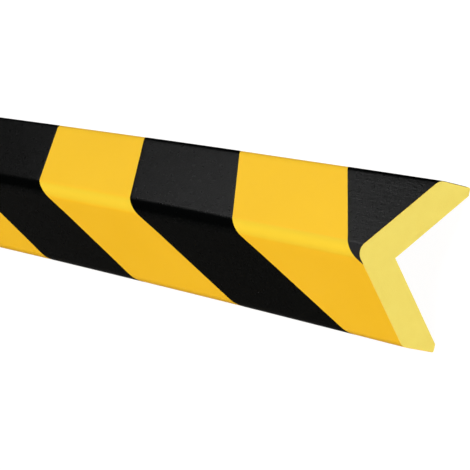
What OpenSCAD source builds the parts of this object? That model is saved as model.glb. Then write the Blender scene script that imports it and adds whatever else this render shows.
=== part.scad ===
// Foam corner edge protector: a right-angled foam profile with black and yellow hazard stripes.
// It lies ridge up on the narrow feet of its two legs, with its length along X and its front end at +X.
// The origin is midway along it, at the level of the feet.

/* [Profile] */
// Length of the profile
length = 1000; // [200:10:2000]
// Outer size of each leg, from the sharp corner that the ridge rounds off to the tip of the leg
leg_len = 40; // [32:0.5:60]
// Thickness of each leg
wall = 9.6; // [6:0.1:12]
// Width of the foot at the tip of each leg
foot_w = 2.3; // [1.5:0.1:5]

/* [Edges] */
// Radius of the ridge
ridge_r = 3.1; // [1:0.1:8]
// Radius of the shoulder between the sloping flat and the upright side
shoulder_r = 4; // [1:0.1:6]
// Radius of the outer edge of each foot
foot_r = 0.6; // [0.2:0.1:1.2]

/* [Stripes] */
// Width of each stripe, measured square across it
stripe_w = 36.5; // [15:0.5:60]
// Angle between the stripes and the length, on the sloping flats and on the upright sides
stripe_angle = 45; // [30:1:60]
// Distance along the ridge from the front end to the first change of colour
stripe_start = 3.9; // [0:0.1:14]
// Depth of the black coat in the skin of the foam
coat = 0.3; // [0.1:0.05:0.6]
// How far the black coat stops short of the round edge of the feet
coat_gap = 0.4; // [0.2:0.1:2]

/* [Hidden] */
$fn = 64;

// How far a cutting shape reaches past what it cuts
over = 2;
// How far a round edge stands past the flats beside it, so that it crosses them instead of only touching them
cross = 0.005;
// How far outside the skin the two parts of a stripe line up, so that no sliver of foam is left between them
line_up = 0.05;

// The section in this pose, with its legs sloping down at 45 degrees from the ridge: heights and half widths.
// The sharp corners are named here, and the round edges are cut from them.
leg_slope = 45;
ridge_z = (leg_len + wall) / sqrt(2) - foot_w / 2;
hollow_z = ridge_z - wall * sqrt(2);
half_w = hollow_z + foot_w;
shoulder_z = ridge_z - half_w;

// Half the angle through which the outline turns at each kind of corner
ridge_turn = leg_slope;
shoulder_turn = (90 - leg_slope) / 2;
foot_turn = 45;

// Where the round shoulder ends in the upright side, and where the black coat ends above the foot
side_z = shoulder_z - shoulder_r * tan(shoulder_turn);
coat_z = foot_r + coat_gap;

// Half way round the shoulder, and just outside the skin there
split_z = side_z + shoulder_r * sin(shoulder_turn);
split_y = half_w - shoulder_r * (1 - cos(shoulder_turn)) + line_up;

// Each stripe leans back by this much for each unit up the side, and on a flat for each unit up the slope.
// Seen in plan, a unit across the flat is a longer way along the slope.
side_lean = 1 / tan(stripe_angle);
plan_lean = side_lean / cos(leg_slope);

// Stripes are equally wide in both colours, so a black one comes every two pitches along the length.
pitch = stripe_w / sin(stripe_angle);
first_x = length / 2 - stripe_start + pitch;
reach = plan_lean * half_w + side_lean * split_z;
black_count = floor((first_x + length / 2 + reach) / (2 * pitch)) + 1;

// What a round edge of radius r cuts off a sharp corner. The corner is at the origin and points up,
// and the outline turns there by twice the half turn.
module edge_waste(r, half_turn) {
    normal = [sin(half_turn), cos(half_turn)];
    centre = [0, -r / cos(half_turn)];
    tangent = centre + r * normal;
    outside = tangent + over * normal;
    difference() {
        polygon([
            centre,
            tangent,
            outside,
            [0, 2 * over],
            [-outside[0], outside[1]],
            [-tangent[0], tangent[1]],
        ]);
        translate(centre)
            circle(r + cross);
    }
}

// Outer outline of the section, set in by inset all round and reaching down to bottom_z
module outer_outline(inset, bottom_z) {
    w = half_w - inset;
    top = ridge_z - inset * sqrt(2);
    difference() {
        polygon([[-w, bottom_z], [-w, top - w], [0, top], [w, top - w], [w, bottom_z]]);
        translate([0, top])
            edge_waste(ridge_r - inset, ridge_turn);
        for (side = [-1, 1])
            translate([side * w, top - w])
                rotate(-side * (90 - shoulder_turn))
                    edge_waste(shoulder_r - inset, shoulder_turn);
    }
}

// The whole section, with the right-angled hollow that the corner of a wall or beam goes into
module section() {
    difference() {
        outer_outline(0, 0);
        polygon([[-hollow_z - over, -over], [0, hollow_z], [hollow_z + over, -over]]);
        for (side = [-1, 1])
            translate([side * half_w, 0])
                rotate(-side * (90 + foot_turn))
                    edge_waste(foot_r, foot_turn);
    }
}

// Extrudes a section, drawn across and up, along the length
module along_length(len) {
    rotate([90, 0, 90])
        linear_extrude(len, center = true)
            children();
}

module profile() {
    along_length(length)
        section();
}

// Outline of a stripe between two levels y0 and y1. Its front edge crosses y = 0 at x, and it leans back by
// lean for each unit of y.
module stripe_outline(x, lean, y0, y1) {
    polygon([
        [x - lean * y0, y0],
        [x - lean * y1, y1],
        [x - lean * y1 - pitch, y1],
        [x - lean * y0 - pitch, y0],
    ]);
}

// Cuts one stripe out of the skin. Above the middle of the shoulders it is drawn in plan. Below that it is
// drawn from the side, and goes on at the same angle from where the plan leaves off.
module stripe_cutter(x) {
    translate([0, 0, split_z])
        linear_extrude(ridge_z)
            stripe_outline(x, plan_lean, -half_w - over, half_w + over);
    for (side = [-1, 1])
        translate([-side * plan_lean * split_y, side * half_w, split_z])
            rotate([90, 0, 0])
                linear_extrude(2 * over, center = true)
                    stripe_outline(x, -side * side_lean, coat_z - split_z, 0);
}

// Everywhere that is black: the stripes, less the foam that lies deeper than the coat
module black_space() {
    difference() {
        for (i = [0:black_count - 1])
            stripe_cutter(first_x - 2 * pitch * i);
        along_length(length + 4 * (pitch + reach))
            outer_outline(coat, -over);
    }
}

module foam_profile() {
    color("gold")
        difference() {
            profile();
            black_space();
        }
}

module black_stripes() {
    color("#202122")
        intersection() {
            profile();
            black_space();
        }
}

foam_profile();
black_stripes();
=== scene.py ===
import math

import bmesh
import bpy
from mathutils import Matrix, Vector, noise


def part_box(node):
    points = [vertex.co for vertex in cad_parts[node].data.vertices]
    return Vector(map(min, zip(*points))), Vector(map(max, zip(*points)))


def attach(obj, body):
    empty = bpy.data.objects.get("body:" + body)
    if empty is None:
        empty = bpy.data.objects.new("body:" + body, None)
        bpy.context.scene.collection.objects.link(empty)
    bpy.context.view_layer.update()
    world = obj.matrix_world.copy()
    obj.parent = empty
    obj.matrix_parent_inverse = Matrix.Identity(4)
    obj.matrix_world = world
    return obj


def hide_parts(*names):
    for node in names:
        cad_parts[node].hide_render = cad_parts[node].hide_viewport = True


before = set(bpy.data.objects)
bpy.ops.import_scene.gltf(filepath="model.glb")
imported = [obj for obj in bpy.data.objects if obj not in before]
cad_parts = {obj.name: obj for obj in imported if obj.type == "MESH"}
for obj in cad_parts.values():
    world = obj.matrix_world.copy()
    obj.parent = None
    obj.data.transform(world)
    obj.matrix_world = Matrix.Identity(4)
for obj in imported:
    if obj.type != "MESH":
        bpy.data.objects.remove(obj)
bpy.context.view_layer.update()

sceneNow = bpy.context.scene
root2 = math.sqrt(2)
slope = 45  # degrees by which both flats fall away from the ridge
print("frame loaded")

# Section of the profile, across (y) and up (z), in metres. Its overall size is the CAD's own.
profile = {
    "wall": 0.0096,
    "ridgeRadius": 0.0031,
    "shoulderRadius": 0.004,
    "ridgeEase": 0.0006,  # away from the cut ends the skin rounds the ridge this much more
    "shoulderEase": 0.0008,  # and the shoulders this much
    "easeLength": 0.09,  # distance from a cut end over which that comes in
    "footRadius": 0.0006,
    "roundSteps": 10,  # faces round each half of the ridge and round a shoulder
    "footSteps": 6,
    "flatStep": 0.0016,  # spacing of the rows of faces on the outside
    "innerStep": 0.0048,  # and in the hollow
    "waveHeight": 0.00004,  # the skin is never quite flat
    "waveLength": 0.045,
    "waveSquash": 2,  # the waves are this many times shorter across than along
    "waveFade": 0.008,  # they are full above this height and die out below it
}

# Diagonal stripes and their thin coat, which is let into the skin
stripes = {
    "width": 0.0365,  # square across a stripe
    "angle": 45,  # degrees between the stripes and the length
    "start": 0.0039,  # along the ridge, from the front end to the first change of colour
    "frontBands": 2,  # bands in front of that, which lean back on to the +Y side
    "coatDepth": 0.0001,
    "proud": 0.00004,  # the coat swells this much above the skin
    "swellWidth": 0.0008,  # and does so over this distance from its edge
    "edgeColumns": (0, 0.3, 1, 2),  # columns of faces close to an edge, in swell widths from it
    "evenFrom": 3,  # and where the evenly spaced ones take over
    "columnStep": 0.003,  # their spacing
    "lag": 0.00045,  # the print hangs back this much where it is stretched over the ridge
    "lagAt": -0.0024,  # how far across from the ridge it does so most
    "lagWidth": 0.0044,  # and how far from there that has died out
    # How far each change of colour strays back from its even place, and the share by which it
    # leans more than the rest. Both are given for the +Y side and then for the -Y side, and the
    # first line is for the change of colour nearest the front end.
    "wander": [
        (-0.0001, 0.043, 0.0009, 0.0),
        (-0.0011, 0.032, 0.0001, 0.018),
        (-0.00055, -0.008, -0.00015, 0.024),
        (0.0006, -0.028, -0.00055, -0.034),
        (0.00045, 0.0, -0.0003, -0.08),
    ],
}

# Laid on a floor the bar is a little bowed, and its front end isn't cut quite square.
posture = {
    "bowHeight": 0.0008,
    "bowLength": 0.75,  # from one crest to the next
    "bowCrest": 0.375,  # where along the bar it reaches furthest towards +Y
    "bowBack": 0.5,  # share of its height by which the whole bow is set towards -Y
    "cutHeight": 0.0176,  # where the front cut crosses the CAD's end
    "cutNormal": (1, -0.0292, 0.0287),
}

meshing = {
    "mergeDistance": 1e-6,
    "cutTolerance": 1e-7,
    "sharpAngle": 35,  # degrees; edges that turn more than this stay sharp
}

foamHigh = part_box("foam_profile")[1]
halfLength = foamHigh.x
halfWidth = foamHigh.y
# ridgeZ is the height of the sharp corner that the ridge rounds off
ridgeZ = foamHigh.z + profile["ridgeRadius"] * (root2 - 1)
hollowZ = ridgeZ - profile["wall"] * root2
halfShoulder = math.radians(slope / 2)
sideZ = ridgeZ - halfWidth - profile["shoulderRadius"] * math.tan(halfShoulder)
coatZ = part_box("black_stripes")[0].z

# The stripes are straight in plan down to the shoulder.
# From there on they keep their angle as the skin turns.
turnY = halfWidth - profile["shoulderRadius"] * (1 - 1 / root2)
turnZ = sideZ + profile["shoulderRadius"] / root2
sideLean = 1 / math.tan(math.radians(stripes["angle"]))
planLean = sideLean * root2
shoulderArc = profile["shoulderRadius"] * math.radians(slope)
footShift = planLean * turnY + sideLean * (shoulderArc + sideZ)
pitch = stripes["width"] / math.sin(math.radians(stripes["angle"]))


def smoothStep(value, low, high):
    t = min(max((value - low) / (high - low), 0), 1)
    return t * t * (3 - 2 * t)


def makeRow(y, z, ny, nz, outside=True):
    # shift is how far back along the bar the stripes have leaned at this row
    if not outside or z <= 0:
        shift = footShift * min(1, y / hollowZ)
    elif z >= turnZ:
        shift = planLean * y
    else:
        radius = profile["shoulderRadius"]
        turned = math.radians(slope) - math.asin(max(z - sideZ, 0) / radius)
        shift = planLean * turnY + sideLean * (radius * turned + max(sideZ - z, 0))
    return {
        "y": y,
        "z": z,
        "ny": ny,
        "nz": nz,
        "shift": shift,
        "wave": smoothStep(z, coatZ, profile["waveFade"]) if outside else 0,
        "outside": outside,
        "easeY": 0,
        "easeZ": 0,
        "easeShift": 0,
    }


def arcRows(corner, toCentre, radius, ease, startDeg, endDeg, count):
    # round a sharp corner; toCentre leads from it to the centre of an arc of radius 1
    rows = []
    for i in range(count + 1):
        degrees = startDeg + (endDeg - startDeg) * i / count
        ny = math.cos(math.radians(degrees))
        nz = math.sin(math.radians(degrees))
        outY = toCentre[0] + ny
        outZ = toCentre[1] + nz
        row = makeRow(corner[0] + radius * outY, corner[1] + radius * outZ, ny, nz)
        row["easeY"] = ease * outY
        row["easeZ"] = ease * outZ
        flatY = toCentre[0] + math.cos(math.radians(max(degrees, slope)))
        turned = math.radians(max(slope - degrees, 0))
        row["easeShift"] = ease * (planLean * flatY + sideLean * turned)
        rows.append(row)
    return rows


def lineRows(start, end, normal, step, outside=True):
    # the rows between two points, without the points themselves
    length = math.dist(start, end)
    count = max(1, round(length / step))
    rows = []
    for i in range(1, count):
        t = i / count
        y = start[0] + (end[0] - start[0]) * t
        z = start[1] + (end[1] - start[1]) * t
        rows.append(makeRow(y, z, normal[0], normal[1], outside))
    return rows


def halfOutline():
    # from the top of the ridge down the outside, round the foot and up the hollow to its apex
    p = profile
    steps = p["roundSteps"]
    equal = 1 / root2
    ridge = arcRows((0, ridgeZ), (0, -root2), p["ridgeRadius"], p["ridgeEase"], 90, slope, steps)
    corner = (halfWidth, ridgeZ - halfWidth)
    toCentre = (-1, -math.tan(halfShoulder))
    shoulder = arcRows(corner, toCentre, p["shoulderRadius"], p["shoulderEase"], slope, 0, steps)
    foot = arcRows((halfWidth, 0), (-1, 1), p["footRadius"], 0, 0, -90, p["footSteps"])
    flatEnds = [(r["y"], r["z"]) for r in (ridge[-1], shoulder[0])]
    rows = ridge
    rows += lineRows(flatEnds[0], flatEnds[1], (equal, equal), p["flatStep"])
    rows += shoulder
    rows += lineRows((halfWidth, sideZ), (halfWidth, coatZ), (1, 0), p["flatStep"])
    rows.append(makeRow(halfWidth, coatZ, 1, 0))
    rows += foot
    rows.append(makeRow(hollowZ, 0, 0, -1, False))
    rows += lineRows((hollowZ, 0), (0, hollowZ), (-equal, -equal), p["innerStep"], False)
    rows.append(makeRow(0, hollowZ, 0, -1, False))
    return rows


def mirrored(row):
    return {**row, **{key: -row[key] for key in ("y", "ny", "shift", "easeY", "easeShift")}}


rightRows = halfOutline()
leftRows = [mirrored(r) for r in reversed(rightRows[1:-1])]
outline = rightRows + leftRows


def isCoated(row):
    return row["outside"] and row["z"] > coatZ


def isCoatLimit(row):
    return row["outside"] and row["z"] == coatZ and row["nz"] == 0


def wanderAt(along, side):
    # what the two nearest changes of colour stray and lean, shared out by distance
    place = (halfLength - stripes["start"] - along) / pitch
    first = math.floor(place)
    share = place - first
    plain = (0, 0, 0, 0)
    table = stripes["wander"]
    near, far = (table[i] if 0 <= i < len(table) else plain for i in (first, first + 1))
    shared = [(1 - share) * a + share * b for a, b in zip(near, far)]
    strayLeft, leanLeft, strayRight, leanRight = shared
    left = smoothStep(side, -profile["ridgeRadius"], profile["ridgeRadius"])
    stray = left * strayLeft + (1 - left) * strayRight
    lean = left * leanLeft + (1 - left) * leanRight
    return stray, lean


def bowAt(x):
    turn = 2 * math.pi * (x - posture["bowCrest"]) / posture["bowLength"]
    return posture["bowHeight"] * (math.cos(turn) - posture["bowBack"])


def surfacePoint(row, along, depth):
    # where the line that crosses the ridge at along and follows the stripes meets this row,
    # at this depth in the skin
    stray, lean = wanderAt(along, row["y"])
    lag = stripes["lag"] * smoothStep(abs(row["y"] - stripes["lagAt"]), stripes["lagWidth"], 0)
    x = along - stray - lag - row["shift"] * (1 + lean)
    eased = smoothStep(halfLength - abs(x), 0, profile["easeLength"])
    x -= eased * row["easeShift"]
    y = row["y"] + eased * row["easeY"]
    z = row["z"] + eased * row["easeZ"]
    if row["wave"]:
        scale = 1 / profile["waveLength"]
        squash = profile["waveSquash"]
        swell = noise.noise(Vector((x, squash * y, squash * z)) * scale)
        depth = depth - row["wave"] * profile["waveHeight"] * swell
    return x, y - depth * row["ny"] + bowAt(x), z - depth * row["nz"]


def stripeBands():
    # along the ridge, from the front end back: low end, high end and whether the band is black
    bands = []
    high = halfLength - stripes["start"] + stripes["frontBands"] * pitch
    black = False
    while high > -halfLength - footShift:
        bands.append((high - pitch, high, black))
        high -= pitch
        black = not black
    return bands


def bandColumns(low, high):
    # close together at both edges of a band and evenly spaced between them
    swell = stripes["swellWidth"]
    near = [part * swell for part in stripes["edgeColumns"]]
    start = low + stripes["evenFrom"] * swell
    span = high - stripes["evenFrom"] * swell - start
    count = math.ceil(span / stripes["columnStep"])
    middle = [start + span * i / count for i in range(count + 1)]
    return [low + n for n in near] + middle + [high - n for n in reversed(near)]


def closeEnds(bm, endMaterial):
    for side, normal in ((1, posture["cutNormal"]), (-1, (-1, 0, 0))):
        bmesh.ops.bisect_plane(
            bm,
            geom=bm.verts[:] + bm.edges[:] + bm.faces[:],
            dist=meshing["cutTolerance"],
            plane_co=(side * halfLength, 0, posture["cutHeight"]),
            plane_no=normal,
            clear_outer=True,
        )
    openEdges = [e for e in bm.edges if e.is_boundary]
    caps = bmesh.ops.holes_fill(bm, edges=openEdges, sides=0)["faces"]
    for face in caps:
        face.material_index = endMaterial
    bmesh.ops.triangulate(bm, faces=caps)
    bmesh.ops.recalc_face_normals(bm, faces=bm.faces)


def looseEdges(mesh):
    counts = {}
    for polygon in mesh.polygons:
        for key in polygon.edge_keys:
            counts[key] = counts.get(key, 0) + 1
    return sum(1 for n in counts.values() if n != 2)


def finishMesh(bm, name, materials):
    mesh = bpy.data.meshes.new(name)
    bm.to_mesh(mesh)
    bm.free()
    mesh.shade_smooth()
    mesh.set_sharp_from_angle(angle=math.radians(meshing["sharpAngle"]))
    piece = bpy.data.objects.new(name, mesh)
    sceneNow.collection.objects.link(piece)
    for material in materials:
        mesh.materials.append(material)
    print(name, "faces:", len(mesh.polygons), "open or shared edges:", looseEdges(mesh))
    return piece


def newVerts(bm, grid):
    return [[bm.verts.new(point) for point in line] for line in grid]


# Where each material stands in the foam's list
skinIndex = 0
hollowIndex = 1
cutIndex = 2


def foamMesh():
    # The skin, sunk under each black stripe by the depth of the coat.
    # A row at the coat's limit comes twice, once sunk and once not.
    bm = bmesh.new()
    levels = []
    for row in outline:
        if isCoatLimit(row):
            inOrder = [False, True] if row["y"] < 0 else [True, False]
            levels += [(row, sunk) for sunk in inOrder]
        else:
            levels.append((row, isCoated(row)))
    borders = []
    for low, high, black in stripeBands():
        depth = stripes["coatDepth"] if black else 0
        columns = bandColumns(low, high)
        points = []
        for row, sunk in levels:
            points.append([surfacePoint(row, u, depth if sunk else 0) for u in columns])
        grid = newVerts(bm, points)
        for j, line in enumerate(grid):
            k = (j + 1) % len(grid)
            following = grid[k]
            onSkin = levels[j][0]["outside"] and levels[k][0]["outside"]
            for i in range(len(line) - 1):
                face = bm.faces.new((line[i], line[i + 1], following[i + 1], following[i]))
                face.material_index = skinIndex if onSkin else hollowIndex
        borders.append(([line[0] for line in grid], [line[-1] for line in grid]))
    for (lowEdge, _), (_, highEdge) in zip(borders, borders[1:]):
        # bands run from the front end back, so a band's low edge meets the next one's high edge
        for j in range(len(lowEdge)):
            k = (j + 1) % len(lowEdge)
            bm.faces.new((lowEdge[j], lowEdge[k], highEdge[k], highEdge[j]))
    bmesh.ops.remove_doubles(bm, verts=bm.verts, dist=meshing["mergeDistance"])
    closeEnds(bm, cutIndex)
    return bm


def coatMesh():
    # one thin closed shell for each black stripe
    bm = bmesh.new()
    limits = [j for j, row in enumerate(outline) if isCoatLimit(row)]
    count = len(outline)
    # from the limit on the -Y side over the ridge to the one on the +Y side
    order = [(limits[1] + i) % count for i in range((limits[0] - limits[1]) % count + 1)]
    rows = [outline[j] for j in order]
    for low, high, black in stripeBands():
        if not black:
            continue
        columns = bandColumns(low, high)

        def swellAt(row, u):
            fromEdge = min(u - low, high - u)
            if row["z"] < sideZ:
                fromEdge = min(fromEdge, row["z"] - coatZ)
            return stripes["proud"] * smoothStep(fromEdge, 0, stripes["swellWidth"])

        raised = [[surfacePoint(row, u, -swellAt(row, u)) for u in columns] for row in rows]
        sunk = [[surfacePoint(row, u, stripes["coatDepth"]) for u in columns] for row in rows]
        top = newVerts(bm, raised)
        under = newVerts(bm, sunk)
        for j in range(len(rows) - 1):
            for i in range(len(columns) - 1):
                for grid in (top, under):
                    bm.faces.new((grid[j][i], grid[j][i + 1], grid[j + 1][i + 1], grid[j + 1][i]))
            for i in (0, -1):
                bm.faces.new((top[j][i], top[j + 1][i], under[j + 1][i], under[j][i]))
        for i in range(len(columns) - 1):
            for j in (0, -1):
                bm.faces.new((top[j][i], top[j][i + 1], under[j][i + 1], under[j][i]))
    closeEnds(bm, 0)
    return bm


# Materials. Each shared effect is a node group that is placed in every material that needs it.
effects = {
    "grainDetail": 3,
    "grainRoughness": 0.6,
    "streakDetail": 2,
    "streakAlong": 9.0,
    "mottleDetail": 4,
    "mottleLow": 0.3,  # the part of the noise that the two colours are spread over
    "mottleHigh": 0.7,
}


def addNode(tree, kind, **settings):
    node = tree.nodes.new(kind)
    for name, value in settings.items():
        setattr(node, name, value)
    return node


def newGroup(name, inputs, outputs):
    # an input that has no value here is given one by each material
    tree = bpy.data.node_groups.new(name, "ShaderNodeTree")
    for label, kind, value in inputs:
        socket = tree.interface.new_socket(name=label, in_out="INPUT", socket_type=kind)
        if value is not None:
            socket.default_value = value
    for label, kind in outputs:
        tree.interface.new_socket(name=label, in_out="OUTPUT", socket_type=kind)
    return tree, addNode(tree, "NodeGroupInput"), addNode(tree, "NodeGroupOutput")


def fineGrainGroup():
    # even fine grain, as the mould leaves it on the skin
    tree, given, result = newGroup(
        "fineGrain",
        [
            ("Vector", "NodeSocketVector", None),
            ("Scale", "NodeSocketFloat", None),
            ("Roughness", "NodeSocketFloat", effects["grainRoughness"]),
        ],
        [("Height", "NodeSocketFloat")],
    )
    grain = addNode(tree, "ShaderNodeTexNoise")
    grain.inputs["Detail"].default_value = effects["grainDetail"]
    link = tree.links.new
    link(given.outputs["Vector"], grain.inputs["Vector"])
    link(given.outputs["Scale"], grain.inputs["Scale"])
    link(given.outputs["Roughness"], grain.inputs["Roughness"])
    link(grain.outputs["Fac"], result.inputs["Height"])
    return tree


def longStreaksGroup():
    # faint lines that run along the length
    tree, given, result = newGroup(
        "longStreaks",
        [
            ("Vector", "NodeSocketVector", None),
            ("Across", "NodeSocketFloat", None),
            ("Along", "NodeSocketFloat", effects["streakAlong"]),
        ],
        [("Height", "NodeSocketFloat")],
    )
    stretch = addNode(tree, "ShaderNodeCombineXYZ")
    scaled = addNode(tree, "ShaderNodeVectorMath", operation="MULTIPLY")
    lines = addNode(tree, "ShaderNodeTexNoise")
    lines.inputs["Scale"].default_value = 1
    lines.inputs["Detail"].default_value = effects["streakDetail"]
    link = tree.links.new
    link(given.outputs["Along"], stretch.inputs["X"])
    link(given.outputs["Across"], stretch.inputs["Y"])
    link(given.outputs["Across"], stretch.inputs["Z"])
    link(given.outputs["Vector"], scaled.inputs[0])
    link(stretch.outputs["Vector"], scaled.inputs[1])
    link(scaled.outputs["Vector"], lines.inputs["Vector"])
    link(lines.outputs["Fac"], result.inputs["Height"])
    return tree


def softMottleGroup():
    # a soft change between two colours, with its mask
    tree, given, result = newGroup(
        "softMottle",
        [
            ("Vector", "NodeSocketVector", None),
            ("Scale", "NodeSocketFloat", None),
            ("Colour A", "NodeSocketColor", None),
            ("Colour B", "NodeSocketColor", None),
        ],
        [("Colour", "NodeSocketColor"), ("Mask", "NodeSocketFloat")],
    )
    clouds = addNode(tree, "ShaderNodeTexNoise")
    clouds.inputs["Detail"].default_value = effects["mottleDetail"]
    spread = addNode(tree, "ShaderNodeMapRange")
    spread.inputs["From Min"].default_value = effects["mottleLow"]
    spread.inputs["From Max"].default_value = effects["mottleHigh"]
    mix = addNode(tree, "ShaderNodeMix", data_type="RGBA")
    link = tree.links.new
    link(given.outputs["Vector"], clouds.inputs["Vector"])
    link(given.outputs["Scale"], clouds.inputs["Scale"])
    link(clouds.outputs["Fac"], spread.inputs["Value"])
    link(spread.outputs["Result"], mix.inputs["Factor"])
    link(given.outputs["Colour A"], mix.inputs["A"])
    link(given.outputs["Colour B"], mix.inputs["B"])
    link(mix.outputs["Result"], result.inputs["Colour"])
    link(spread.outputs["Result"], result.inputs["Mask"])
    return tree


groups = {
    "fineGrain": fineGrainGroup(),
    "longStreaks": longStreaksGroup(),
    "softMottle": softMottleGroup(),
}


def placeGroup(tree, name, vector, **values):
    # an underscore in the name of a value stands for a space in the name of its socket
    node = addNode(tree, "ShaderNodeGroup", node_tree=groups[name])
    tree.links.new(vector, node.inputs["Vector"])
    for label, value in values.items():
        node.inputs[label.replace("_", " ")].default_value = value
    return node


def placeMottle(tree, vector, look):
    return placeGroup(
        tree,
        "softMottle",
        vector,
        Scale=look["mottleScale"],
        Colour_A=look["colourA"],
        Colour_B=look["colourB"],
    )


def startMaterial(name):
    material = bpy.data.materials.new(name)
    material.use_nodes = True
    tree = material.node_tree
    shader = tree.nodes["Principled BSDF"]
    place = addNode(tree, "ShaderNodeTexCoord").outputs["Object"]
    return material, tree, shader, place


def mapValue(tree, source, low, high):
    node = addNode(tree, "ShaderNodeMapRange")
    node.inputs["To Min"].default_value = low
    node.inputs["To Max"].default_value = high
    tree.links.new(source, node.inputs["Value"])
    return node.outputs["Result"]


def ramp(tree, source, start, end):
    # 0 at start and 1 at end, eased at both
    node = addNode(tree, "ShaderNodeMapRange", interpolation_type="SMOOTHSTEP")
    node.inputs["From Min"].default_value = start
    node.inputs["From Max"].default_value = end
    tree.links.new(source, node.inputs["Value"])
    return node.outputs["Result"]


def mixColour(tree, factor, source, colour):
    node = addNode(tree, "ShaderNodeMix", data_type="RGBA")
    node.inputs["B"].default_value = colour
    tree.links.new(factor, node.inputs["Factor"])
    tree.links.new(source, node.inputs["A"])
    return node.outputs["Result"]


def mathNode(tree, operation, a, b=None):
    node = addNode(tree, "ShaderNodeMath", operation=operation)
    for socket, value in zip(node.inputs, (a, b)):
        if isinstance(value, (int, float)):
            socket.default_value = value
        elif value is not None:
            tree.links.new(value, socket)
    return node.outputs["Value"]


def skinMaterial(name, look):
    # a moulded skin: mottled colour, satin finish, fine grain and faint long lines
    material, tree, shader, place = startMaterial(name)
    link = tree.links.new
    mottle = placeMottle(tree, place, look)
    grain = placeGroup(tree, "fineGrain", place, Scale=look["grainScale"])
    streaks = placeGroup(tree, "longStreaks", place, Across=look["streakScale"])
    height = mathNode(
        tree,
        "ADD",
        mathNode(tree, "MULTIPLY", grain.outputs["Height"], look["grainHeight"]),
        mathNode(tree, "MULTIPLY", streaks.outputs["Height"], look["streakHeight"]),
    )
    bump = addNode(tree, "ShaderNodeBump")
    bump.inputs["Distance"].default_value = look["relief"]
    bump.inputs["Strength"].default_value = look["bumpStrength"]
    link(height, bump.inputs["Height"])
    link(bump.outputs["Normal"], shader.inputs["Normal"])
    where = addNode(tree, "ShaderNodeSeparateXYZ")
    link(place, where.inputs["Vector"])
    # light and shade painted over the ridge: the colour turns to the look's painted ridge colour
    # there
    ridgeTop = (foamHigh.z - drop for drop in look["paintedRidgeFade"])
    paintedRidgeMask = ramp(tree, where.outputs["Z"], *ridgeTop)
    colour = mixColour(tree, paintedRidgeMask, mottle.outputs["Colour"], look["paintedRidgeColour"])
    # a painted reflection on the black where the ridge meets the front end
    if "tipSheenColour" in look:
        endFade = (halfLength - back for back in look["tipSheenBack"])
        nearEnd = ramp(tree, where.outputs["X"], *endFade)
        besideRidge = ramp(tree, where.outputs["Y"], *look["tipSheenAcross"])
        tipSheenMask = mathNode(tree, "MULTIPLY", nearEnd, besideRidge)
        colour = mixColour(tree, tipSheenMask, colour, look["tipSheenColour"])
    link(colour, shader.inputs["Base Color"])
    link(mapValue(tree, mottle.outputs["Mask"], *look["roughness"]), shader.inputs["Roughness"])
    shader.inputs["Specular IOR Level"].default_value = look["specular"]
    return material


yellowLook = {
    "colourA": (0.90, 0.53, 0.019, 1),
    "colourB": (0.92, 0.55, 0.023, 1),
    "paintedRidgeColour": (0.80, 0.55, 0.034, 1),  # a painted highlight: paler over the ridge, where the light falls on it most
    "paintedRidgeFade": (0.0012, 0.0003),  # below the top of the ridge: where that starts and is full
    "mottleScale": 28,
    "grainScale": 1700,
    "grainHeight": 0.7,
    "streakScale": 600,
    "streakHeight": 0.5,
    "relief": 0.00003,
    "bumpStrength": 0.35,
    "roughness": (0.40, 0.48),
    "specular": 0.05,
}
innerLook = {
    **yellowLook,
    "colourA": (0.86, 0.53, 0.03, 1),
    "colourB": (0.90, 0.58, 0.045, 1),
    "grainHeight": 1.4,
    "bumpStrength": 0.6,
    "roughness": (0.62, 0.72),
}
blackLook = {
    **yellowLook,
    "colourA": (0.0002, 0.0003, 0.0003, 1),
    "colourB": (0.0012, 0.0014, 0.0012, 1),
    # painted shade: over the ridge the speckle gives way to this even, slightly darker colour
    "paintedRidgeColour": (0.0005, 0.0007, 0.0007, 1),
    "mottleScale": 900,  # a fine speckle
    "tipSheenColour": (0.019, 0.019, 0.020, 1),  # a painted reflection: grey where the ridge meets the cut front end
    "tipSheenBack": (0.014, 0.010),  # back from that end: where the grey starts and is full
    "tipSheenAcross": (0.0024, 0.0012),  # and the same across the ridge
    "grainScale": 1400,
    "grainHeight": 1.0,
    "relief": 0.0001,
    "bumpStrength": 0.8,
    "roughness": (0.27, 0.30),
    "specular": 0.1,
}

cutFoam = {
    "colourA": (0.865, 0.705, 0.140, 1),
    "colourB": (0.885, 0.735, 0.155, 1),
    "skinColour": (0.93, 0.62, 0.085, 1),
    "skinFade": (0.00027, 0.000054),  # in from the outer edge: where the skin starts and is full
    "mottleScale": 260,
    "cellScale": 2600,
    "relief": 0.00006,
    "bumpStrength": 0.5,
    "roughness": 0.85,
    "specular": 0.1,
}


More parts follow.
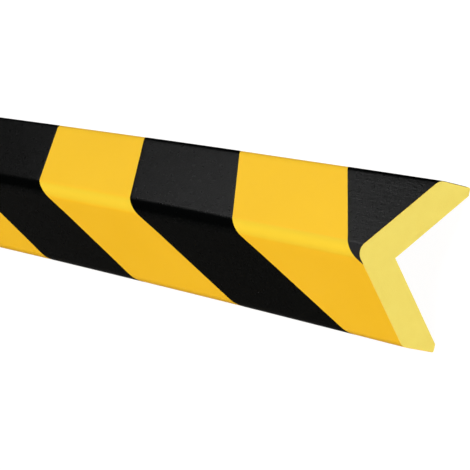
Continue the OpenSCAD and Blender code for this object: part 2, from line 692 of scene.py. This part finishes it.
def cutFoamMaterial(name, look):
    # fine-celled foam as a knife leaves it, turning into the denser skin at its outer edge
    material, tree, shader, place = startMaterial(name)
    link = tree.links.new
    mottle = placeMottle(tree, place, look)
    parts = addNode(tree, "ShaderNodeSeparateXYZ")
    link(place, parts.inputs["Vector"])
    across = mathNode(tree, "ABSOLUTE", parts.outputs["Y"])
    reach = mathNode(tree, "ADD", across, parts.outputs["Z"])
    fromFlat = mathNode(tree, "DIVIDE", mathNode(tree, "SUBTRACT", ridgeZ, reach), root2)
    fromSide = mathNode(tree, "SUBTRACT", halfWidth, across)
    depth = mathNode(tree, "MINIMUM", fromFlat, fromSide)
    skin = ramp(tree, depth, *look["skinFade"])
    colour = mixColour(tree, skin, mottle.outputs["Colour"], look["skinColour"])
    link(colour, shader.inputs["Base Color"])
    cells = addNode(tree, "ShaderNodeTexVoronoi")
    cells.inputs["Scale"].default_value = look["cellScale"]
    link(place, cells.inputs["Vector"])
    bump = addNode(tree, "ShaderNodeBump", invert=True)
    bump.inputs["Distance"].default_value = look["relief"]
    bump.inputs["Strength"].default_value = look["bumpStrength"]
    link(cells.outputs["Distance"], bump.inputs["Height"])
    link(bump.outputs["Normal"], shader.inputs["Normal"])
    shader.inputs["Roughness"].default_value = look["roughness"]
    shader.inputs["Specular IOR Level"].default_value = look["specular"]
    return material


yellowSkin = skinMaterial("yellowSkin", yellowLook)
hollowSkin = skinMaterial("hollowSkin", innerLook)
blackCoat = skinMaterial("blackCoat", blackLook)
paleFoam = cutFoamMaterial("paleFoam", cutFoam)
print("materials made")

foamBar = finishMesh(foamMesh(), "foam_bar", [yellowSkin, hollowSkin, paleFoam])
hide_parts("foam_profile")
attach(foamBar, "root")

blackStripes = finishMesh(coatMesh(), "black_coat", [blackCoat])
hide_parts("black_stripes")
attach(blackStripes, "root")
print("profile and coat built")

# Studio: a pale floor that sweeps up at its rim, soft lamps and a dim ceiling
studio = {
    "innerRadius": 3.5,
    "floorRadius": 7.0,
    "rimRadius": 9.0,
    "rimHeight": 5.0,
    "rimSteps": 12,
    "sides": 96,
    "floorGlow": 0.96,
    "rimGlow": 1.0,
    "floorShade": 0.12,  # of the lamps' light, what the camera sees on top of the glow
    "floorBounce": 0.6,  # and what the floor sends on to the object
    "worldColour": (1.0, 1.0, 1.0, 1),
    "worldStrength": 0.04,
}
lamps = {
    "keyAbove": {
        "at": (0.5, 0.45, 1.9),
        "aim": (0.35, 0, 0),
        "size": 1.1,
        "watts": 36.3,
        "colour": (1, 1, 1),
    },
    "sheenSide": {
        "at": (-1.3, 1.8, 0.43),
        "aim": (0.3, 0, 0),
        "size": 0.6,
        "watts": 4.4,
        "colour": (1, 1, 1),
    },
    "warmSide": {
        "at": (0.6, -1.8, 1.1),
        "aim": (0.35, 0, 0),
        "size": 1.2,
        "watts": 16.1,
        "colour": (1, 0.78, 0.42),
    },
    "frontFill": {
        "at": (2.2, 0.1, 0.5),
        "aim": (0.5, 0, 0),
        "size": 0.9,
        "watts": 17.5,
        "colour": (1, 1, 1),
    },
    "backFill": {
        "at": (-2.2, 0.1, 0.5),
        "aim": (-0.5, 0, 0),
        "size": 0.9,
        "watts": 12.0,
        "colour": (1, 1, 1),
    },
}
mattOnly = ["backFill"]  # lamps that no reflection shows

# Dark cards that only reflections see: their shade, a corner and the two edges that leave it
cards = {
    "floorCardLeft": (0, (-3.0, -0.02, 0.0004), (4.0, 0, 0), (0, 3.0, 0)),
    "floorCardRight": (0.06, (-3.0, -3.0, 0.0004), (4.0, 0, 0), (0, 2.973, 0)),
    "sideCard": (0.12, (-3.0, -0.6, 0), (4.0, 0, 0), (0, 0, 1.2)),
    "backCard": (0, (-3.0, -4.0, 0), (0, 6.45, 0), (0, 0, 4.0)),
    "leftCard": (0, (-3.0, 2.45, 0), (4.0, 0, 0), (0, 0, 3.0)),
}


def floorMaterial(name, strength):
    # the camera and reflections see it glow evenly, and all other light meets a pale matt floor
    material = bpy.data.materials.new(name)
    material.use_nodes = True
    tree = material.node_tree
    tree.nodes.clear()
    link = tree.links.new
    path = addNode(tree, "ShaderNodeLightPath")
    seen = mathNode(tree, "ADD", path.outputs["Is Camera Ray"], path.outputs["Is Glossy Ray"])
    seen = mathNode(tree, "ADD", seen, path.outputs["Is Transmission Ray"])
    glow = addNode(tree, "ShaderNodeEmission")
    glow.inputs["Strength"].default_value = strength
    shade = addNode(tree, "ShaderNodeBsdfDiffuse")
    shade.inputs["Color"].default_value = (studio["floorShade"],) * 3 + (1,)
    bounce = addNode(tree, "ShaderNodeBsdfDiffuse")
    bounce.inputs["Color"].default_value = (studio["floorBounce"],) * 3 + (1,)
    both = addNode(tree, "ShaderNodeAddShader")
    mix = addNode(tree, "ShaderNodeMixShader")
    out = addNode(tree, "ShaderNodeOutputMaterial")
    link(glow.outputs["Emission"], both.inputs[0])
    link(shade.outputs["BSDF"], both.inputs[1])
    link(seen, mix.inputs["Fac"])
    link(bounce.outputs["BSDF"], mix.inputs[1])
    link(both.outputs["Shader"], mix.inputs[2])
    link(mix.outputs["Shader"], out.inputs["Surface"])
    return material


def makeFloor():
    # a flat disc, and round it the rim that sweeps up
    bm = bmesh.new()
    rings = [(studio["innerRadius"], 0.0), (studio["floorRadius"], 0.0)]
    steps = studio["rimSteps"]
    grow = studio["rimRadius"] - studio["floorRadius"]
    for i in range(1, steps + 1):
        angle = math.pi / 2 * i / steps
        radius = studio["floorRadius"] + grow * math.sin(angle)
        rings.append((radius, studio["rimHeight"] * (1 - math.cos(angle))))
    sides = studio["sides"]
    turn = [2 * math.pi * i / sides for i in range(sides)]
    loops = []
    for radius, z in rings:
        points = [(radius * math.cos(t), radius * math.sin(t), z) for t in turn]
        loops.append([bm.verts.new(point) for point in points])
    bm.faces.new(loops[0])
    for ring, (a, b) in enumerate(zip(loops, loops[1:])):
        for i in range(sides):
            k = (i + 1) % sides
            face = bm.faces.new((a[i], b[i], b[k], a[k]))
            face.material_index = 1 if ring else 0
    mesh = bpy.data.meshes.new("floor")
    bm.to_mesh(mesh)
    bm.free()
    mesh.shade_smooth()
    mesh.materials.append(floorMaterial("paleFloor", studio["floorGlow"]))
    mesh.materials.append(floorMaterial("paleRim", studio["rimGlow"]))
    floor = bpy.data.objects.new("floor", mesh)
    sceneNow.collection.objects.link(floor)


def makeCard(name, shade, corner, edgeA, edgeB):
    points = []
    for s, t in ((0, 0), (1, 0), (1, 1), (0, 1)):
        points.append([corner[i] + s * edgeA[i] + t * edgeB[i] for i in range(3)])
    mesh = bpy.data.meshes.new(name)
    mesh.from_pydata(points, [], [(0, 1, 2, 3)])
    material = bpy.data.materials.new(name)
    material.use_nodes = True
    shader = material.node_tree.nodes["Principled BSDF"]
    shader.inputs["Base Color"].default_value = (shade, shade, shade, 1)
    shader.inputs["Specular IOR Level"].default_value = 0
    mesh.materials.append(material)
    card = bpy.data.objects.new(name, mesh)
    card.visible_camera = False
    card.visible_diffuse = False
    card.visible_transmission = False
    card.visible_shadow = False
    sceneNow.collection.objects.link(card)


def makeWorld():
    world = bpy.data.worlds.new("ceiling")
    sceneNow.world = world
    world.use_nodes = True
    background = world.node_tree.nodes["Background"]
    background.inputs["Color"].default_value = studio["worldColour"]
    background.inputs["Strength"].default_value = studio["worldStrength"]


def makeLamp(name, lamp):
    data = bpy.data.lights.new(name, "AREA")
    data.shape = "SQUARE"
    data.size = lamp["size"]
    data.energy = lamp["watts"]
    data.color = lamp["colour"]
    light = bpy.data.objects.new(name, data)
    light.location = lamp["at"]
    toAim = Vector(lamp["aim"]) - Vector(lamp["at"])
    light.rotation_euler = toAim.to_track_quat("-Z", "Y").to_euler()
    light.visible_camera = False
    light.visible_glossy = name not in mattOnly
    sceneNow.collection.objects.link(light)


makeFloor()
makeWorld()
for cardName, shape in cards.items():
    makeCard(cardName, *shape)
for lampName, lampValues in lamps.items():
    makeLamp(lampName, lampValues)
print("studio lit")

# The camera looks back along the profile from beyond its front end, turned almost on its side.
cameraView = {
    "at": (0.886712, -0.004799, 0.370926),
    "aim": (0.429904, -0.002228, 0.020),
    "roll": 78.214,  # degrees
    "lens": 152.09,
    "sensor": 36,  # width, in the same millimetres as the lens
}
cameraData = bpy.data.cameras.new("camera")
cameraData.lens = cameraView["lens"]
cameraData.sensor_width = cameraView["sensor"]
camera = bpy.data.objects.new("camera", cameraData)
sceneNow.collection.objects.link(camera)
lookAlong = Vector(cameraView["aim"]) - Vector(cameraView["at"])
level = lookAlong.to_track_quat("-Z", "Y").to_matrix().to_4x4()
roll = Matrix.Rotation(math.radians(-cameraView["roll"]), 4, "Z")
camera.matrix_world = Matrix.Translation(cameraView["at"]) @ level @ roll
sceneNow.camera = camera
sceneNow.view_settings.view_transform = "Standard"
